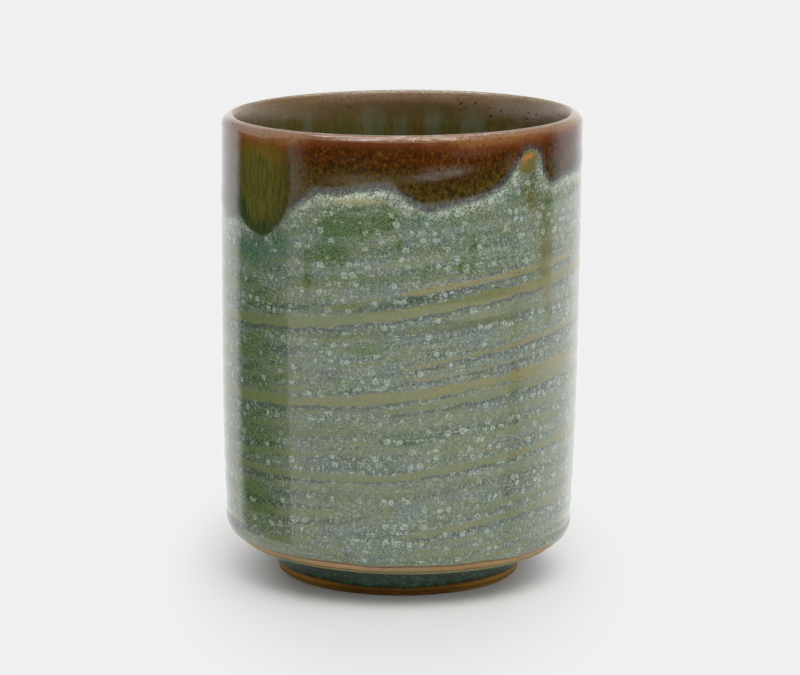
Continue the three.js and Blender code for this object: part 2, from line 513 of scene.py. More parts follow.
# Olive lines: degrees of the middle, height there, drop at the far left of it, rise at the far
# right, width, degrees where it starts and ends, how tan it is, and how strong
line_side_degrees = 60
line_places = [
    (0, 58.8, 3.8, 4.7, 2.0, -104, 128, 0.40, 1.0),
    (0, 62.5, 4.3, 4.2, 1.1, -13, 84, 0.80, 0.9),
    (0, 64.6, 4.0, 6.9, 0.8, 34, 92, 0.60, 0.6),
    (0, 55.2, 4.0, 4.2, 1.7, -8, 78, 0.25, 0.55),
    (0, 51.6, 4.0, 3.4, 1.2, -2, 30, 0.10, 0.3),
    (0, 47.9, 4.0, 5.2, 0.9, -14, 96, 0.60, 0.8),
    (0, 45.2, 4.0, 4.6, 0.5, -9, 66, 0.90, 0.7),
    (0, 42.6, 3.1, 3.8, 1.9, -112, 134, 0.55, 1.0),
    (0, 39.9, 4.2, 4.3, 1.6, -18, 104, 0.25, 0.8),
    (0, 36.4, 2.0, 3.0, 2.2, -70, 84, 0.10, 0.35),
    (0, 28.8, 4.0, 4.6, 0.4, 10, 74, 0.70, 0.6),
    (0, 26.7, 1.4, 4.3, 1.4, -118, 112, 0.30, 0.9),
    (0, 23.9, 1.5, 4.0, 2.2, -62, 92, 0.10, 0.45),
    (0, 17.1, 4.0, 5.0, 1.2, 2, 94, 0.25, 0.5),
    (0, 14.6, 1.5, 4.5, 1.3, -9, 86, 0.30, 0.8),
    (180, 66.5, 4.0, 3.0, 1.3, -70, 60, 0.60, 0.8),
    (180, 60.2, 3.6, 3.4, 1.9, -76, 92, 0.45, 1.0),
    (180, 55.9, 4.0, 3.6, 0.7, -20, 70, 0.70, 0.7),
    (180, 51.2, 3.5, 4.0, 1.2, -92, 66, 0.30, 0.7),
    (180, 44.0, 3.5, 3.8, 1.9, -84, 88, 0.50, 1.0),
    (180, 38.2, 4.0, 4.0, 0.6, -40, 74, 0.70, 0.7),
    (180, 33.0, 3.2, 3.8, 1.6, -66, 90, 0.20, 0.5),
    (180, 27.3, 3.0, 3.6, 1.7, -94, 78, 0.35, 0.9),
    (180, 19.8, 2.6, 3.4, 1.2, -58, 84, 0.25, 0.7),
]
line_wander = 0.16 * mm
line_waves = (9, 17, 29, 43)
line_swell = 0.5
line_swell_waves = (7, 13, 22, 37)
line_bend = 0.45
line_climb_share = 0.13
least_taper_degrees = 18
taper_share = 0.2
line_end_gap = 0.8
tan_drift = 0.25

# Stains, and the painted shade down the left side: degrees, height, half width in degrees, half height, and
# how strong
patch_reach_share = 1.35
patch_heart_share = 0.35
wall_patches = {
    "emerald": [
        (-52, 69.0, 12, 3.4, 1.0), (-40, 71.5, 6, 3.4, 0.8), (-36, 75.0, 3, 2.0, 0.5),
        (5, 77.0, 5, 1.7, 0.5), (-21.5, 72.4, 6, 3.0, 0.4), (14, 76.4, 12, 2.4, 0.3),
        (160, 74.5, 9, 3.2, 0.9), (184, 71.5, 8, 2.6, 0.9), (271, 72.3, 8, 2.8, 0.9),
        (105, 74.0, 6, 2.4, 0.7),
    ],
    "green": [
        (-17, 76.0, 11, 5.0, 1.0), (-22, 70.5, 6, 4.0, 1.0), (-5, 77.2, 5, 2.6, 0.9),
        (-29.8, 66.5, 1.5, 7.0, 1.0), (-22.8, 62.0, 1.3, 1.7, 0.9), (-0.7, 72.3, 1.4, 2.1, 0.9),
        (22.7, 70.8, 1.8, 3.8, 1.0), (19.2, 68.4, 1.6, 2.0, 0.9), (-53, 49.5, 10, 3.4, 1.0),
        (-52, 33.5, 10, 4.2, 1.0), (-52, 19.5, 9, 4.4, 1.0), (-50, 43.0, 9, 1.8, 0.7),
        (-53, 62.0, 8, 2.6, 0.6), (-10, 51.8, 9, 1.8, 0.6), (2, 34.0, 10, 2.0, 0.6),
        (30, 35.5, 9, 1.6, 0.5), (8, 66.8, 3, 3.0, 0.5), (-20, 36.0, 8, 1.6, 0.5),
        # The tall patch at -50 degrees is painted shade down the dim left side of the cup
        (30, 20.0, 8, 1.5, 0.5), (-50, 38, 13, 34, 0.6), (52.5, 72.0, 3.4, 12.0, 1.0),
        (53.5, 57.0, 2.4, 3.4, 0.9), (62, 62.0, 5, 2.0, 0.4), (120, 76.0, 7, 4.0, 0.9),
        (150, 66.0, 2, 6.0, 0.8), (200, 76.0, 7, 4.5, 0.9), (232, 73.0, 2, 6.0, 0.8),
        (215, 50.0, 10, 3.0, 0.7), (140, 40.0, 10, 2.5, 0.7), (178, 30.0, 9, 3.0, 0.7),
        (250, 30.0, 9, 3.0, 0.8), (285, 60.0, 8, 2.4, 0.6), (100, 55.0, 8, 2.4, 0.5),
    ],
    "spot": [
        (41.1, 87.55, 1.4, 0.4, 0.9), (42.5, 87.8, 1.6, 0.42, 1.0), (44.0, 88.1, 1.2, 0.36, 0.9),
        (41.5, 86.6, 1.0, 0.3, 0.3),
    ],
    "arch_top": [
        (42.3, 87.2, 5.0, 2.6, 1.0), (50.5, 86.6, 2.0, 1.6, 0.6),
    ],
    "arch": [
        (42.5, 86.6, 5.0, 2.6, 1.0), (44.0, 81.5, 3.8, 5.0, 0.9), (47.5, 75.5, 3.6, 4.5, 0.8),
        (51.5, 67.5, 3.2, 8.0, 1.0), (52.5, 59.5, 2.6, 5.0, 0.9),
    ],
    "tan_stain": [
        (-14.5, 80.6, 11, 1.0, 1.0), (52.2, 65.8, 3.2, 1.6, 0.3), (52.2, 62.6, 3.2, 1.4, 0.3),
        (211, 80.5, 9, 0.7, 0.9), (136, 81.2, 8, 0.6, 0.8),
    ],
    "white": [
        (-15, 81.7, 13, 1.8, 1.0), (-32, 78.0, 5, 3.0, 0.4), (18, 78.8, 12, 1.6, 0.45),
        (70, 81.5, 14, 1.6, 0.6), (137, 82.2, 12, 1.8, 0.9), (213, 81.8, 14, 1.8, 0.9),
        (250, 80.2, 12, 1.6, 0.5),
    ],
}


def closed_curve(places, turn_degrees):
    """A smooth closed curve through the given places round the cup."""
    at, value = np.array(places).T
    at = np.concatenate([at[-3:] - 360, at, at[:3] + 360])
    value = np.concatenate([value[-3:], value, value[:3]])
    slope = np.gradient(value, at)
    turn_degrees = (turn_degrees - places[0][0]) % 360 + places[0][0]
    before = np.searchsorted(at, turn_degrees, side="right") - 1
    span = at[before + 1] - at[before]
    part = (turn_degrees - at[before]) / span
    return (
        value[before] * (1 + 2 * part) * (1 - part) ** 2
        + slope[before] * span * part * (1 - part) ** 2
        + value[before + 1] * part**2 * (3 - 2 * part)
        + slope[before + 1] * span * part**2 * (part - 1)
    )


ragged = wobble(turns, drip_ruggedness, (29, 47, 71, 97, 131, 173))
drip_edge = closed_curve(drip_places, degrees) * mm + ragged
fine_steps = 8


def distance_to_drip(height):
    """How far each point lies from the rim glaze's edge along the wall, above it or below it."""
    fine = np.linspace(0, 1, fine_steps, endpoint=False)[None, :]
    along = ((turns + fine * 2 * math.pi / columns) * mouth_radius).ravel()
    up = (drip_edge + fine * (np.roll(drip_edge, -1, axis=0) - drip_edge)).ravel()
    edge = KDTree(len(along))
    for index, place in enumerate(zip(along, up)):
        edge.insert((*place, 0), index)
    edge.balance()
    across = np.broadcast_to(turns * mouth_radius, height.shape)
    far = [edge.find((x, z, 0))[2] for x, z in zip(across.ravel().tolist(), height.ravel().tolist())]
    return np.array(far).reshape(height.shape) * np.where(height > drip_edge, 1, -1)


def patch_strength(places, height):
    """How strongly the patches lie on each point of the wall: stains, painted shade and painted reflections.
    """
    total = np.zeros(height.shape)
    for middle, middle_height, half_degrees, half_height, strength in places:
        sideways = degrees_from(middle) / half_degrees
        far = np.hypot(sideways, (height - middle_height * mm) / (half_height * mm))
        total = np.maximum(total, strength * eased(far, patch_reach_share, patch_heart_share))
    return total


def nearest_line(height):
    """Gap to the nearest olive line's edge, which side of it, how tan the line is, how strong."""
    found = [np.ones(height.shape)] + [np.zeros(height.shape)] * 3
    for middle, front, drop, rise, width, start, end, tanness, strength in line_places:
        off = degrees_from(middle)
        part = off / line_side_degrees
        easing = (1 + line_bend) * part - line_bend * part * np.abs(part)
        centre = (front + np.where(part > 0, rise, drop) * easing) * mm
        centre = centre + wobble(turns, line_wander, line_waves)
        swell = 1 + wobble(turns, line_swell, line_swell_waves)
        taper = max(least_taper_degrees, (end - start) * taper_share)
        ends = eased(off, start, start + taper) * eased(off, end, end - taper)
        half = (width / 2 * swell * ends - line_end_gap * (1 - ends)) * mm
        gap = np.abs(height - centre) - half
        here = (gap, height - centre, tanness + tan_drift * part, strength)
        found = [np.where(gap < found[0], new, old) for new, old in zip(here, found)]
    return found


ground = colour(128, 140, 116)
ground_blue = colour(123, 134, 124)
ground_olive = colour(130, 138, 98)
pin_dark = colour(56, 78, 60)
pin_blue = colour(65, 78, 75)
pin_tint = colour(124, 148, 138)
deep_green = colour(44, 72, 48)
fuzz = colour(170, 185, 172)
crystal = colour(186, 200, 186)
crystal_heart = colour(158, 172, 156)
olive_green = colour(100, 124, 72)
emerald = colour(62, 114, 82)
olive_line = colour(124, 132, 90)
tan_line = colour(147, 138, 92)
rust = colour(124, 80, 54)
line_shade = colour(97, 107, 98)
fringe_pale = colour(158, 166, 158)
tan_strip = colour(164, 160, 108)
arch_olive = colour(112, 108, 46)
arch_gold = colour(118, 106, 62)
white_edge = colour(212, 218, 200)
orange_spot = colour(204, 126, 66)
crystal_size = 1.7 * mm
small_crystal_size = 0.8 * mm

wall = Finish("grey_green_crystal_glaze", ground, roughness=0.1, ior=1.62)
up_the_wall = wall.axes[2]
behind = wall.axes[1].ease(-1.0 * mm, 1.0 * mm)
shake_size = 0.7 * mm
shake_reach = 0.9 * mm


def front_or_back(front, rear):
    """One number on the front of the cup and another on its back."""
    return Amount(wall, wall.node("ShaderNodeMix", {0: behind, 2: front, 3: rear})[0])


def unrolled(sign):
    """The wall laid flat: along it and up it in metres, joined at the back for 1, in front for -1."""
    turn = wall.maths("ARCTAN2", wall.axes[0] * sign, wall.axes[1] * -sign)
    return wall.node("ShaderNodeCombineXYZ", {0: turn * mouth_radius, 1: up_the_wall})[0]


def crystals(flat, size, density):
    """Ring crystals: pale outlines round hearts, present as often as density says."""
    off, tint = wall.cells(size, flat)
    chance = wall.parts("ShaderNodeSeparateColor", tint)
    ring = chance[0] * 0.14 + 0.17
    present = (density - chance[1]).ease(-0.06, 0.06)
    return abs(off - ring).ease(0.15, 0.03) * present, off.ease(ring, 0.06) * present


def both_sides(size, density):
    """Ring crystals on the wall laid flat twice, so that neither join shows."""
    feeds = {"Vector": wall.place, "Scale": 1 / shake_size, "Detail": 2.0}
    shake = wall.node("ShaderNodeTexNoise", feeds)["Color"]
    shake = wall.vectors("MULTIPLY", shake, (shake_reach,) * 3)[0]
    masks = [crystals(wall.vectors("ADD", unrolled(sign), shake)[0], size, density) for sign in (1.0, -1.0)]
    return [front_or_back(front, rear) for front, rear in zip(*masks)]


def along_lines(length, height, detail=3.0):
    """Cloudy noise drawn out along the climbing lines, in front and behind."""
    across, away, up = wall.axes
    sides = []
    for climb_share in (-line_climb_share, line_climb_share):
        raised = up + across * climb_share
        drawn = {0: across * (1 / length), 1: away * (1 / length), 2: raised * (1 / height)}
        sides.append(wall.noise(wall.node("ShaderNodeCombineXYZ", drawn)[0], detail))
    return front_or_back(*sides)


fine = wall.grain(0.34 * mm, detail=2)
speckle = wall.grain(0.62 * mm, detail=3)
clouds = along_lines(4.5 * mm, 1.8 * mm, detail=4)
rows = along_lines(17 * mm, 1.5 * mm, detail=4)
broad = along_lines(12 * mm, 5 * mm)
row_share = 1.0 - up_the_wall.ease(66 * mm, 74 * mm) * 0.7
olive_row = rows.ease(0.54, 0.62) * row_share
dark_row = rows.ease(0.46, 0.38) * row_share

# The ground: blue and olive greys in rows, and green where the glaze pooled or the rim's ran in,
# and the same green as painted shade down the dim left side
gap = wall.field("line_gap")
wall.lay(ground_blue, clouds.ease(0.46, 0.6) + gap.ease(3.0 * mm, 1.2 * mm) * 0.35)
wall.lay(ground_olive, (broad.ease(0.48, 0.6) * 0.6).most(olive_row * 0.9))
wall.lay(line_shade, dark_row * 0.55)
ragged_green = wall.field("green").shaken(clouds, 1.6).ease(0.15, 0.8)
greenness = ragged_green.most(along_lines(6 * mm, 3 * mm).ease(0.55, 0.68) * 0.45)
# This green is also painted shade down the dim left side
wall.lay(olive_green, greenness * 0.75)
wall.lay(deep_green, greenness.ease(0.3, 1.0) * (dark_row * 0.2))
emerald_stained = wall.field("emerald")
wall.lay(emerald, emerald_stained * wall.grain(1.1 * mm, stretch=2).ease(0.22, 0.52) * 0.75)
arch_share = wall.field("arch") * wall.grain(1.3 * mm, stretch=2).ease(0.36, 0.52)
wall.lay(arch_olive, arch_share)

# Crystals, the dark pinholes between them, and the shade and fringe along the olive lines
density = wall.field("crystal_share") + dark_row * 0.16 + olive_row * -0.2
outline, heart = both_sides(crystal_size, density)
small_outline, small_heart = both_sides(small_crystal_size, density * 0.8)
strong = wall.field("line_strength")
below_line = wall.field("line_side").ease(0.0, -0.5 * mm)
ragged_gap = gap.shaken(speckle, 1.1 * mm).shaken(clouds, 0.7 * mm)
wall.lay(line_shade, ragged_gap.ease(1.6 * mm, 0.3 * mm) * strong * below_line * 0.8)
wall.lay(fringe_pale, ragged_gap.ease(0.8 * mm, 0.2 * mm) * strong * (1.0 - below_line) * 0.4)
fuzz_share = density * 0.8 + 0.3 + up_the_wall.ease(24 * mm, 12 * mm) * 0.2
fuzz_share = fuzz_share * (1.0 - olive_row * 0.6) * (1.0 - ragged_green * 0.5)
wall.lay(fuzz, speckle.ease(0.53, 0.64) * fuzz_share)
pin_share = (fine.ease(0.53, 0.42) * 0.75).most(wall.cells(0.46 * mm)[0].ease(0.46, 0.2) * 0.65)
pin_depth = greenness * 0.25 + dark_row * 0.2 + olive_row * -0.25 + 0.7
wall.lay(pin_tint, pin_share * pin_depth, blend="MULTIPLY")
wall.lay(crystal_heart, heart.most(small_heart) * 0.55)
wall.lay(crystal, outline * fine.ease(0.38, 0.5) * 0.75)
wall.lay(crystal, small_outline * 0.4)

# The olive lines themselves, tan in places and dashed with rust
line_rim = ragged_gap.ease(0.75 * mm, 0.35 * mm) * speckle.ease(0.62, 0.46)
wall.lay(pin_blue, line_rim * strong * 0.4)
tanness = wall.field("line_tan").shaken(along_lines(7 * mm, 1 * mm), 1.3)
line_colour = wall.over(
    olive_line,
    (tan_line, tanness.ease(0.25, 1.0)),
    (olive_green, greenness * 0.35),
    (rust, along_lines(2.2 * mm, 0.3 * mm).ease(0.6, 0.66) * tanness.ease(0.55, 0.8) * 0.8),
    (pin_dark, fine.ease(0.48, 0.38) * 0.25),
)
wall.lay(line_colour, ragged_gap.ease(0.25 * mm, -0.15 * mm) * strong * 0.95)
wall.lay(arch_olive, arch_share * up_the_wall.ease(76 * mm, 70 * mm) * 0.6)

# Along the rim glaze's edge: a tan strip, a milky line, green runs and the gold of the small arch
wall.lay(tan_strip, wall.field("tan_stain") * speckle.ease(0.3, 0.5) * 0.85)
drip = wall.field("above_drip")
ragged_drip = drip.shaken(speckle, 1.6 * mm)
milk_line = ragged_drip.ease(-1.7 * mm, -1.0 * mm) * ragged_drip.ease(-0.1 * mm, -0.5 * mm)
milk = (milk_line * (wall.field("white") * 0.7 + 0.25)).most(drip.ease(-3.6 * mm, -0.8 * mm) * 0.35)
bare_of_milk = (wall.field("arch") * 0.9).most(emerald_stained * 0.8).most(wall.field("arch_top") * 0.9)
wall.lay(white_edge, milk * (1.0 - bare_of_milk) * fine.ease(0.4, 0.56))
wall.lay(pin_blue, ragged_drip.ease(-0.7 * mm, 0.0) * 0.45)
run_green = emerald_stained * ragged_drip.ease(-3.2 * mm, -0.6 * mm)
wall.lay(deep_green, run_green * wall.grain(0.6 * mm, stretch=4).ease(0.3, 0.5) * 0.7)
wall.lay(arch_gold, wall.field("arch_top").shaken(speckle, 2.2).ease(0.2, 0.75) * 0.8)
wall.lay(orange_spot, wall.field("spot") * speckle.ease(0.25, 0.45))
ragged_wipe = wall.field("above_wipe").shaken(speckle, 0.6 * mm)
wall.lay(glazed_edge, ragged_wipe.ease(0.85 * mm, 0.5 * mm) * 0.7)
# a darker line along the glaze's wiped edge
wall.lay(dark_edge_line, ragged_wipe.ease(0.42 * mm, 0.22 * mm) * 0.85)
wall_glaze = wall.done([(wall.grain(2.4 * mm), 0.02 * mm), (outline, 0.006 * mm)])

back_depth = coat * 0.9
close_rows = 0.6 * mm
sink_start = 0.3 * mm
wall_face_top = drip_edge + under_rim_lap
hip_steps = np.linspace(1, 0, 12, endpoint=False)[None, :]


def round_hip(size, turn):
    """A place on the hip, this far from the centre of its curve and this far below its widest place."""
    return hip_centre[0] + size * np.cos(turn), hip_centre[1] - size * np.sin(turn)


def sunk_wall(height):
    """The wall's radius, drawn in where the rim glaze lies over the coat."""
    return wall_radius(height) - under_rim_sink * eased(height, drip_edge - sink_start, wall_face_top)


hip_side, hip_height = round_hip(hip_turn, wiped_turn * hip_steps)
edge_side, edge_height = round_hip(hip_turn - glaze_edge_round, wiped_turn)
wall_outline = join(
    point(edge_side, edge_height - glaze_edge_round / 3),
    point(hip_side[:, :1] - glaze_edge_round / 4, hip_height[:, :1] - glaze_edge_round / 5),
    (hip_side, hip_height),
    climb(hip_centre[1], drip_edge - close_rows, 150, wall_radius),
    climb(drip_edge - close_rows, wall_face_top, 6, sunk_wall),
    point(wall_radius(wall_face_top) - back_depth, wall_face_top),
    climb(wall_face_top - mm, hip_centre[1], 12, lambda height: wall_radius(height) - back_depth),
    round_hip(hip_turn - back_depth, wiped_turn * (1 - hip_steps)),
)
up_wall = wall_outline[1]
wall_fields = {name: patch_strength(places, up_wall) for name, places in wall_patches.items()}
line_fields = ("line_gap", "line_side", "line_tan", "line_strength")
wall_fields.update(zip(line_fields, nearest_line(up_wall)))
wall_fields["above_drip"] = distance_to_drip(up_wall)
wall_fields["above_wipe"] = (wiped_turn - turn_below(wall_outline)) * hip_turn
wall_fields["crystal_share"] = (
    0.14
    + 0.14 * eased(wall_fields["line_gap"], 3.0 * mm, 0.6 * mm)
    + 0.3 * eased(-wall_fields["above_drip"], 3.2 * mm, 1.2 * mm)
    - 0.16 * wall_fields["green"]
    - 0.3 * wall_fields["emerald"]
    - 0.35 * patch_strength(wall_patches["arch"][:1], up_wall)
    + 0.14 * eased(up_wall, 62 * mm, 72 * mm)
)
wall_coat = turned("dipped_wall_glaze", wall_outline, wall_glaze, fields=wall_fields)
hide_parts("outer_glaze")
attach(wall_coat, "root")

# Rim glaze
# The iron glaze that the rim was dipped in last. It broke to tan over the lip, stayed dark brown
# where it is thick, and ran down to a rolled, wavy edge where it melted olive into the glaze
# below. Inside, it ran down the hollow in soft tongues.
bead_height = 0.1 * mm
bead_edge = 0.9 * mm
bead_reach = 2.4 * mm
swell_height = 0.06 * mm
inner_edge_depth = 7.4 * mm
inner_edge_wander = 1.1 * mm
rim_back = 0.9 * coat
lip_ring_pitch = 0.85 * mm
last_row = 0.06 * mm
back_rows = 0.5 * mm
iron_roughness = 0.09

rim_brown = colour(74, 48, 12)
rim_dark = colour(42, 26, 8)
rim_orange = colour(94, 44, 4)
rim_tan = colour(146, 103, 58)
lip_olive = colour(150, 132, 92)
lip_red = colour(126, 66, 36)
rim_olive = colour(88, 78, 26)
lobe_olive = colour(100, 98, 40)
lobe_top = colour(124, 98, 32)
lobe_dark = colour(72, 70, 26)
rim_gold = colour(136, 100, 38)
halo_dark = colour(60, 60, 58)
halo_blue = colour(104, 110, 110)
mauve_reflection = colour(116, 100, 84)
lobe_fringe = colour(46, 70, 44)
inner_tan = colour(142, 112, 74)
inner_brown = colour(104, 82, 42)
inner_olive = colour(92, 88, 36)
inner_haze = colour(114, 112, 78)
inner_reflection_milk = colour(134, 106, 72)
inner_rust = colour(110, 70, 24)
inner_drip = colour(116, 122, 98)
rim_emerald = colour(42, 68, 38)

# Olive lobes: degrees, height, half width in degrees, half height, and how strong
lobe_places = [
    (-50, 84, 14, 16, 0.95), (271, 80, 14, 11, 0.8), (180, 79, 14, 11, 0.9), (105, 81, 9, 8, 0.8),
]
# In the same way, where the edge runs clean, where reflections are painted on as a haze outside
# and inside, where it broke further down from the lip (near 30 degrees a painted reflection), and
# where it ran green
halo_gaps = [
    (43, 86, 11, 6, 0.45), (-47, 74.5, 18, 6, 0.95), (271, 76, 12, 6, 0.8), (180, 75, 12, 6, 0.8),
]
reflection_places = [
    (-33, 84.0, 4.0, 6.0, 0.45), (-12, 84.5, 13, 1.4, 0.6), (5, 85.0, 9, 1.0, 0.4),
    (15, 86.5, 9, 1.1, 0.75), (22, 89.7, 8, 1.2, 0.35), (36, 86.5, 3, 2.5, 0.4),
    (195, 86, 10, 2.5, 0.5),
]
inner_reflection_places = [
    (224, 90, 26, 4, 0.35), (138, 88.4, 26, 4.0, 0.65), (195, 87.5, 5, 4, 0.4), (20, 86, 60, 7, 0.6),
]
# The tan lip reaches lower at these places; near 30 degrees this stands for a painted reflection
lip_break_and_reflection_places = [
    (30, 90.0, 22, 3.5, 0.5), (-48, 90.5, 22, 2.5, 0.9), (180, 90, 50, 3, 0.5),
]
rim_run_places = [
    (-61, 75.5, 8, 4.5, 1.0), (-49, 73.0, 9, 1.6, 0.8), (183, 74, 9, 2, 0.8), (271, 75, 8, 2, 0.8),
]
# Swells where the glaze gathered thicker, in the same way
swell_places = [
    (11, 88.6, 12, 3.6, 1.2), (-32, 85.0, 5, 5.0, 1.2), (170, 87, 12, 4, 0.8), (240, 86, 9, 3, 0.8),
]

iron = Finish("iron_brown_rim_glaze", rim_brown, roughness=iron_roughness, ior=1.62)
up = iron.axes[2]
iron_drip = iron.field("above_drip")
inside = iron.field("inside")
outer = 1.0 - inside
lobe = iron.field("lobe")
painted_reflection = iron.field("painted_reflection")
streaky = iron.grain(0.45 * mm, stretch=7, detail=4)
flecked = iron.grain(0.27 * mm, detail=2)
mottle = iron.grain(0.75 * mm, stretch=1.3, detail=4)
drift = iron.grain(4.5 * mm)
high = up.shaken(drift, 7 * mm)
# the lip's tan is lowered where it broke, and near 30 degrees as a painted reflection
wavy_up = up.shaken(mottle, 2.4 * mm).shaken(drift, 2.0 * mm) + iron.field("lip_break_and_reflection") * (2.0 * mm)

# Outside: brown with darker mottles, the olive lobes, painted reflections laid as a mauve haze, and
# tan where it broke over the lip, which reaches lower near 30 degrees as a painted reflection
iron.lay(rim_olive, iron_drip.ease(6.0 * mm, 1.5 * mm) * 0.75)
iron.lay(rim_orange, high.ease(85.0 * mm, 89.5 * mm))
iron.lay(rim_dark, mottle.ease(0.46, 0.62) * 0.7)
iron.lay(rim_dark, flecked.ease(0.52, 0.4) * 0.6)
lobe_share = lobe * high.ease(94.5 * mm, 90.5 * mm)
streaked = iron.over(
    lobe_olive,
    (lobe_dark, streaky.ease(0.44, 0.62) * 0.75),
    (lobe_top, high.ease(85.0 * mm, 90.0 * mm) * 0.75),
    (rim_dark, flecked.ease(0.46, 0.36) * 0.3),
)
iron.lay(streaked, lobe_share)
speck = iron.grain(0.6 * mm, detail=3).ease(0.5, 0.68) * mottle.ease(0.6, 0.42)
iron.lay(rim_gold, speck * ((1.0 - lobe_share) * 0.4))
# painted reflections, laid as a mauve haze on the outside
iron.lay(mauve_reflection, painted_reflection * mottle.ease(0.34, 0.62))
lip_olive_share = iron.axes[1].ease(-12 * mm, 20 * mm)
lip_colour = iron.over(rim_tan, (lip_olive, lip_olive_share), (lip_red, mottle.ease(0.5, 0.66) * 0.7))
iron.lay(lip_red, wavy_up.ease(90.2 * mm, 91.6 * mm) * 0.5)
iron.lay(lip_colour, wavy_up.ease(91.4 * mm, 92.8 * mm) * 0.9)

# Inside: olive streaks and rust, brown and tan towards the lip, painted reflections as milky clouds, and pale
# tongues
inner_runs = iron.grain(4.4 * mm, stretch=7).ease(0.48, 0.62) * high.ease(91.0 * mm, 86.5 * mm)
inner_base = iron.over(
    inner_olive,
    (inner_haze, streaky.ease(0.46, 0.62) * 0.6),
    (inner_rust, iron.grain(1.2 * mm, stretch=6).ease(0.55, 0.64) * 0.6),
    (inner_brown, high.ease(86.5 * mm, 90.0 * mm)),
    (inner_tan, wavy_up.ease(89.8 * mm, 91.8 * mm)),
    # painted reflection, as milky clouds on the inner wall
    (inner_reflection_milk, painted_reflection * iron.grain(2.0 * mm, stretch=1.6, detail=4).ease(0.36, 0.56)),
    (rim_dark, flecked.ease(0.48, 0.36) * 0.4),
    (inner_brown, mottle.ease(0.5, 0.62) * 0.5),
    (inner_drip, inner_runs * 0.5),
)
iron.lay(inner_base, inside * up.ease(92.8 * mm, 91.5 * mm))

# Along its edge: a dark halo, green fringes under the lobes, and flecks melted into the wall's glaze
ragged_drip = iron_drip.shaken(mottle, 3.0 * mm).shaken(flecked, 1.6 * mm)
halo = iron.over(halo_dark, (halo_blue, flecked.ease(0.46, 0.6)))
iron.lay(halo, ragged_drip.ease(1.7 * mm, 0.5 * mm) * outer * iron.field("halo_share") * 0.8)
iron.lay(lobe_fringe, ragged_drip.ease(3.6 * mm, 0.8 * mm) * outer * lobe * streaky.ease(0.3, 0.5))
iron.lay(rim_emerald, iron.field("run").shaken(streaky, 3.2).ease(0.3, 1.0) * 0.85)
melted = ragged_drip.ease(0.5 * mm, -0.2 * mm) * outer * flecked.ease(0.42, 0.54)
iron.lay(fuzz, melted * (1.0 - lobe) * 0.5)

# Pits: degrees round the cup, height, and half width, where a bubble broke the rim glaze
outer_pits = [
    (73.5, 87.1, 0.35), (63.0, 88.0, 0.3), (66.2, 88.5, 0.28), (68.0, 87.6, 0.3), (64.6, 87.2, 0.25),
    (60.8, 89.7, 0.25), (0.9, 86.5, 0.25), (-48.1, 91.2, 0.25), (-73.2, 87.9, 0.3), (-73.4, 82.0, 0.3),
]
inner_pits = [
    (157.9, 90.6, 0.55), (152.2, 90.8, 0.55), (127.1, 90.1, 0.4), (122.8, 90.2, 0.4), (127.6, 88.9, 0.4),
    (124.0, 89.1, 0.35), (145.4, 88.5, 0.5), (199.8, 89.6, 0.35), (141.0, 89.9, 0.4), (137.2, 89.3, 0.35),
    (158.6, 89.2, 0.35), (146.5, 90.1, 0.3),
]
pit_shade = colour(38, 26, 12)


def pit_mask(pits, radius_at):
    """1 in the middle of each pit and 0 outside them all."""
    mask = 0.0
    for turn_degrees, height, half_width in pits:
        turn = math.radians(turn_degrees)
        radius = float(radius_at(height * mm))
        middle = (radius * math.sin(turn), -radius * math.cos(turn), height * mm)
        far = Amount(iron, iron.vectors("DISTANCE", iron.place, middle)["Value"])
        mask = iron.maths("MAXIMUM", mask, far.ease(half_width * mm, half_width * mm / 3))
    return mask


pitted = pit_mask(outer_pits, wall_radius).most(pit_mask(inner_pits, hollow_radius))
# painted shade in the hollow of each pit
iron.lay(pit_shade, pitted * 0.85)
lip_grit = iron.grain(0.5 * mm) * up.ease(91.3 * mm, 92.0 * mm)
flat_place = iron.vectors("MULTIPLY", iron.place, (1, 1, 0))[0]
from_axis = Amount(iron, iron.vectors("LENGTH", flat_place)["Value"]).shaken(iron.grain(5 * mm), 1.2 * mm)
lip_rings = iron.maths("SINE", from_axis * (2 * math.pi / lip_ring_pitch)) * up.ease(91.0 * mm, 92.2 * mm)
iron_glaze = iron.done(
    [
        (iron.grain(2.2 * mm), 0.025 * mm),
        (mottle, 0.012 * mm),
        (lip_grit, 0.06 * mm),
        (lip_rings, 0.02 * mm),
        (iron.grain(4 * mm) * inside, 0.12 * mm),
        (pitted * -1.0, 0.07 * mm),
    ],
    roughness=inside * up.ease(86.0 * mm, 89.0 * mm) * 0.2 + iron_roughness,
)


def bead(height):
    """How far the rim glaze stands out from the wall: a thin edge, a low bead, and soft swells."""
    from_edge = np.maximum(height - drip_edge, 0)
    thick = bead_height * (1 - np.exp(-from_edge / bead_edge)) * eased(from_edge, 3 * bead_reach, 0)
    thin = bead_height / 8 * eased(from_edge, bead_edge, 0)
    return thick - thin + swell_height * patch_strength(swell_places, height)


inner_edge = lip_centre[1] - inner_edge_depth - wobble(turns, inner_edge_wander, (3, 5, 8, 13, 21))
rim_outline = join(
    climb(drip_edge, lip_centre[1], 64, lambda height: wall_radius(height) + bead(height), crowd=1.4),
    arc(lip_centre, lip_round, 0, 90, 20),
    lip_inside(0, 26),
    climb(lip_inner_low, inner_edge + last_row, 6, hollow_radius),
    point(hollow_radius(inner_edge + last_row), inner_edge + last_row),
    point(hollow_radius(inner_edge), inner_edge),
    point(hollow_radius(inner_edge) + rim_back, inner_edge),
    climb(inner_edge + back_rows, lip_inner_low, 2, lambda height: hollow_radius(height) + rim_back),
    lip_inside(rim_back, 10, upward=True),
    arc(lip_centre, lip_round - rim_back, 90, 0, 6),
    climb(lip_centre[1], drip_edge + back_rows, 6, lambda height: wall_radius(height) - rim_back),
    point(wall_radius(drip_edge) - rim_back, drip_edge),
)
up_rim = rim_outline[1]
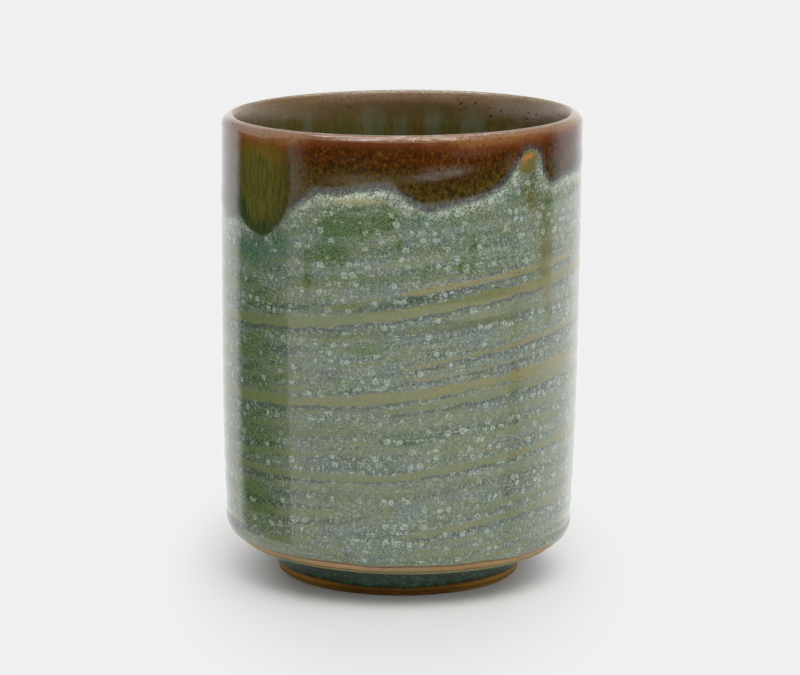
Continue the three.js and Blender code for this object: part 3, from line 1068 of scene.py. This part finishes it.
rim_inside = eased(lip_centre[0] - rim_outline[0], -0.3 * mm, 0.6 * mm)
rim_outside = 1 - rim_inside
rim_fields = {
    "above_drip": np.where(rim_inside > 0.5, 9 * mm, distance_to_drip(up_rim)),
    "inside": rim_inside,
    "lobe": patch_strength(lobe_places, up_rim) * rim_outside,
    "halo_share": 1 - patch_strength(halo_gaps, up_rim),
    "painted_reflection": patch_strength(reflection_places, up_rim) * rim_outside + patch_strength(inner_reflection_places, up_rim) * rim_inside,
    "lip_break_and_reflection": patch_strength(lip_break_and_reflection_places, up_rim) * rim_outside,
    "run": patch_strength(rim_run_places, up_rim) * rim_outside,
}
rim_coat = turned("dipped_rim_glaze", rim_outline, iron_glaze, fields=rim_fields)
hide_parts("rim_glaze")
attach(rim_coat, "root")

# Liner glaze
# The olive coat poured into the hollow and out again, so it streaks straight down the wall and
# pools a little deeper on the floor. The rim glaze laps over its top.
liner_dark = colour(70, 72, 24)
liner_grey = colour(120, 128, 98)
liner_pool = colour(78, 90, 62)
liner_lap = 0.8 * mm
liner_sink = 0.1 * mm

liner = Finish("olive_liner_glaze", inner_olive, roughness=0.1, ior=1.62)
liner.lay(liner_dark, liner.grain(1.3 * mm, stretch=14, detail=4).ease(0.5, 0.66))
liner.lay(liner_grey, liner.grain(0.55 * mm, stretch=9, detail=4).ease(0.5, 0.66) * 0.6)
liner.lay(inner_drip, liner.grain(4.4 * mm, stretch=7).ease(0.48, 0.62) * 0.5)
liner.lay(liner_pool, liner.axes[2].ease(30 * mm, 14 * mm))
liner_glaze = liner.done([(liner.grain(2.5 * mm), 0.025 * mm)])

liner_top = inner_edge + liner_lap
well_floor = well_centre[1] - well_corner


def liner_radius(height):
    """The hollow's radius, drawn back into the wall where the rim glaze lies over the coat."""
    return hollow_radius(height) + liner_sink * eased(height, inner_edge - sink_start, liner_top)


liner_outline = join(
    point(0, well_floor - back_depth),
    point(well_centre[0], well_floor - back_depth),
    arc(well_centre, well_corner + back_depth, -90, 0, 10),
    climb(well_top, liner_top, 12, lambda height: hollow_radius(height) + back_depth),
    point(hollow_radius(liner_top) + 3 * liner_sink, liner_top),
    climb(liner_top, well_top, 90, liner_radius),
    arc(well_centre, well_corner, 0, -90, 24),
    point(well_centre[0], well_floor),
    point(well_centre[0] / 2, well_floor),
    point(0, well_floor),
)
liner_coat = turned("poured_liner_glaze", liner_outline, liner_glaze, closes=False)
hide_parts("liner_glaze")
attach(liner_coat, "root")

# Foot glaze
# The dark green coat under the hip and on the foot ring's wall, where the glazes pooled thick. It
# was wiped back from the sharp edge of the hip and from the foot's lowest part.
foot_coat = 0.35 * mm
foot_fillet = 0.9 * mm
foot_bare = 1.75 * mm
foot_bare_wander = 0.12 * mm
foot_bare_rise = 0.45 * mm
arris_bare = 0.15 * mm
edge_bead = 0.5 * mm
foot_green = colour(10, 42, 12)
foot_teal = colour(32, 74, 42)
foot_murk = colour(24, 42, 10)
foot_fleck = colour(112, 140, 120)

pooled = Finish("dark_green_foot_glaze", foot_green, roughness=0.12, ior=1.5)
pooled.lay(foot_teal, pooled.grain(2.2 * mm).ease(0.45, 0.62))
pooled.lay(foot_murk, pooled.grain(4 * mm, stretch=0.3).ease(0.55, 0.68))
pooled.lay(foot_fleck, pooled.grain(0.9 * mm, stretch=0.45, detail=5).ease(0.56, 0.7) * 0.35)
pooled.lay(glazed_edge, pooled.field("at_arris"))
dark_green_glaze = pooled.done([(pooled.grain(1.6 * mm), 0.04 * mm)])

# The wiped lower edge rises a little away from the front, where the sponge came off
foot_edge = foot_bare + wobble(turns, foot_bare_wander, (2, 3, 7, 12, 19))
foot_edge = foot_edge + foot_bare_rise * eased(np.abs(degrees_from(-5)), 8, 38)
foot_wall = foot_top_radius + foot_coat
under_hip = clay_hip[0][0, 0] - arris_bare
ceiling = foot_height - foot_coat
bedded = foot_height + foot_coat / 2
foot_glaze_outline = join(
    point(foot_side(foot_edge), foot_edge),
    point(foot_side(foot_edge) + 0.75 * foot_coat, foot_edge),
    climb(foot_edge + foot_coat / 2, ceiling - foot_fillet, 12, lambda height: foot_side(height) + foot_coat),
    arc((foot_wall + foot_fillet, ceiling - foot_fillet), foot_fillet, 180, 90, 10),
    point(foot_wall + foot_fillet, ceiling),
    point((foot_wall + under_hip) / 2, ceiling),
    point(under_hip - 1.2 * edge_bead, ceiling - edge_bead / 8),
    point(under_hip - edge_bead / 2, ceiling - edge_bead / 4),
    point(under_hip - edge_bead / 8, ceiling),
    point(under_hip, foot_height),
    point(under_hip - foot_coat, bedded),
    point(foot_wall, bedded),
    point(foot_wall - 1.5 * foot_coat, foot_height),
)
at_arris = eased(foot_glaze_outline[0], under_hip - 1.1 * edge_bead, under_hip - 0.6 * edge_bead)
foot_coat_piece = turned(
    "pooled_foot_glaze", foot_glaze_outline, dark_green_glaze, fields={"at_arris": at_arris}
)
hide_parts("foot_glaze")
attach(foot_coat_piece, "root")

# Recess glaze
# The thin coat inside the foot ring, out of sight when the cup stands. It fills the corner in a
# soft fillet and was wiped off the lower half of the ring's inner wall.
recess_bare = 2.2 * mm
recess_green = colour(104, 112, 88)
recess_brown = colour(96, 78, 48)

recess = Finish("thin_recess_glaze", recess_green, roughness=0.2, ior=1.6)
recess.lay(recess_brown, recess.grain(5 * mm).ease(0.42, 0.62))
recess.lay(fuzz, recess.grain(0.6 * mm).ease(0.5, 0.7) * 0.5)
recess_glaze = recess.done([(recess.grain(1.8 * mm), 0.03 * mm)])

recess_wall = foot_inner_radius - foot_coat
recess_outline = join(
    point(0, ceiling),
    point(recess_wall / 2, ceiling),
    point(recess_wall - foot_fillet, ceiling),
    arc((recess_wall - foot_fillet, ceiling - foot_fillet), foot_fillet, 90, 0, 10),
    climb(ceiling - foot_fillet, recess_bare, 6, lambda height: recess_wall + 0 * height),
    point(recess_wall + foot_coat / 3, recess_bare - foot_coat / 3),
    point(foot_inner_radius + foot_coat / 2, recess_bare),
    point(foot_inner_radius + foot_coat / 2, bedded),
    point(0, bedded),
)
recess_coat = turned("thin_recess_coat", recess_outline, recess_glaze, closes=False)
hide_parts("recess_glaze")
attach(recess_coat, "root")

# Table and light
# A pale table in a pale room. Two soft boxes light the cup from over the camera and from its right.
# Strips and cards that only the gloss sees shape its reflections: bright strips overhead, dark cards
# round the front and at the left, and bright ones behind at either side.
table_half = 3.0
table_albedo = 0.95
pale_strength = 0.871
room_strength = 0.45
fade_start = 0.045
fade_end = 0.12
fade_narrow_shares = (2.4, 1.0, 1.0)
curtain_away = 0.39
card_away = 0.062
# Heights where the right cards meet, and their top
card_middle_low = 0.056
card_middle_high = 0.073
card_top = 0.11
cup_middle = Vector((0, 0, 0.05))
white = (1.0, 1.0, 1.0, 1.0)


def empty_tree(owner):
    owner.use_nodes = True
    owner.node_tree.nodes.clear()
    return owner.node_tree


pale = bpy.data.materials.new("pale_table")
tree = empty_tree(pale)
place = add_node(tree, "ShaderNodeTexCoord")["Object"]
# Painted light: away from the cup, and sooner at its sides, a flat glow replaces the lit table and lightens
# the shadow
narrowed = {0: place, 1: fade_narrow_shares}
place = add_node(tree, "ShaderNodeVectorMath", narrowed, operation="MULTIPLY")[0]
spread = add_node(tree, "ShaderNodeVectorMath", {0: place}, operation="LENGTH")["Value"]
fade = {"Value": spread, "From Min": fade_start, "From Max": fade_end}
far_share = add_node(tree, "ShaderNodeMapRange", fade, interpolation_type="SMOOTHSTEP")["Result"]
lit = add_node(tree, "ShaderNodeBsdfDiffuse", {"Color": (table_albedo, table_albedo, table_albedo, 1.0)})
plain = add_node(tree, "ShaderNodeEmission", {"Strength": pale_strength})
seen_table = add_node(tree, "ShaderNodeMixShader", {0: far_share, 1: lit[0], 2: plain[0]})
add_node(tree, "ShaderNodeOutputMaterial", {"Surface": seen_table[0]})
table_corners = [(x * table_half, y * table_half, 0) for x, y in ((-1, -1), (1, -1), (1, 1), (-1, 1))]
table = new_piece("table", table_corners, [(0, 1, 2, 3)], pale)

# The room lights the cup softly, and looks plain and pale to the camera and in the gloss
room = bpy.data.worlds.new("pale_room")
bpy.context.scene.world = room
tree = empty_tree(room)
rays = add_node(tree, "ShaderNodeLightPath")
seen_through = {0: rays["Is Glossy Ray"], 1: rays["Is Transmission Ray"]}
mirrored = add_node(tree, "ShaderNodeMath", seen_through, operation="MAXIMUM")[0]
seen = add_node(tree, "ShaderNodeMath", {0: rays["Is Camera Ray"], 1: mirrored}, operation="MAXIMUM")[0]
lights = add_node(tree, "ShaderNodeBackground", {"Color": white, "Strength": room_strength})
plain = add_node(tree, "ShaderNodeBackground", {"Color": white, "Strength": pale_strength})
shown_room = add_node(tree, "ShaderNodeMixShader", {0: seen, 1: lights[0], 2: plain[0]})
add_node(tree, "ShaderNodeOutputWorld", {"Surface": shown_room[0]})


def gloss_card(name, away, low, high, glow_places):
    """A card curved round the cup that only its gloss sees, with its glow by degrees round it."""
    degrees_round = np.arange(glow_places[0][0], glow_places[-1][0] + 1)
    at, glow_there = np.array(glow_places).T
    steps = np.radians(degrees_round)
    tops = np.interp(degrees_round, at, np.broadcast_to(high, at.shape))
    corners = [
        (away * math.sin(turn), -away * math.cos(turn), z)
        for turn, top in zip(steps, tops)
        for z in (low, top)
    ]
    faces = [(2 * i, 2 * i + 2, 2 * i + 3, 2 * i + 1) for i in range(len(steps) - 1)]
    finish = bpy.data.materials.new(name)
    tree = empty_tree(finish)
    glow = add_node(tree, "ShaderNodeAttribute", attribute_name="glow")["Fac"]
    shown = add_node(tree, "ShaderNodeEmission", {"Strength": glow})
    add_node(tree, "ShaderNodeOutputMaterial", {"Surface": shown[0]})
    card = new_piece(name, corners, faces, finish)
    mark(card, "glow", np.repeat(np.interp(degrees_round, at, glow_there), 2))
    card.visible_camera = False
    card.visible_diffuse = False
    card.visible_transmission = False
    card.visible_shadow = False


gloss_card(
    "dark_front_curtain",
    curtain_away,
    0,
    curtain_away,
    [(-74, 0.5), (-60, 0.02), (72, 0.02), (126, 0.5)],
)
gloss_card(
    "left_card",
    card_away,
    0,
    [card_top, 0.1, 0.093, 0.09, 0.106],
    [(-180, 1.35), (-98, 1.24), (-91, 0.01), (-72, 0.01), (-55, 0.01)],
)
gloss_card(
    "right_card",
    card_away,
    0,
    card_middle_low,
    [(54, 0.3), (66, 0.95), (82, 1.4), (100, 1.42), (113, 1.56), (126, 1.25), (180, 1.2)],
)
gloss_card(
    "right_card_middle",
    card_away,
    card_middle_low,
    card_middle_high,
    [(54, 0.2), (66, 0.7), (74, 0.5), (79, 0.6), (84, 1.25), (100, 1.3), (113, 1.36), (126, 1.2), (180, 1.2)],
)
gloss_card(
    "right_card_top",
    card_away,
    card_middle_high,
    card_top,
    [(58, 0.03), (79, 0.05), (85, 0.6), (91, 0.9), (108, 1.0), (118, 1.2), (180, 1.2)],
)


def soft_box(name, place, width, height, power, gloss_only=False):
    """A soft box of this size that faces the cup and lights it, or only shows in its gloss."""
    lamp = bpy.data.lights.new(name, "AREA")
    lamp.shape = "RECTANGLE"
    lamp.size = width
    lamp.size_y = height
    lamp.energy = power
    box = bpy.data.objects.new(name, lamp)
    box.location = place
    box.rotation_euler = (cup_middle - Vector(place)).to_track_quat("-Z", "Y").to_euler()
    box.visible_camera = False
    box.visible_glossy = gloss_only
    box.visible_diffuse = not gloss_only
    bpy.context.scene.collection.objects.link(box)


soft_box("front_box", (0.22, -0.32, 0.9), 0.9, 0.6, 4.1)
soft_box("right_box", (0.65, -0.75, 0.55), 0.6, 0.6, 1.3)
soft_box("front_strip", (0.0, -0.2, 0.92), 0.75, 0.1, 2.6, gloss_only=True)
soft_box("back_strip", (0.0, 0.36, 0.89), 0.75, 0.1, 3.6, gloss_only=True)
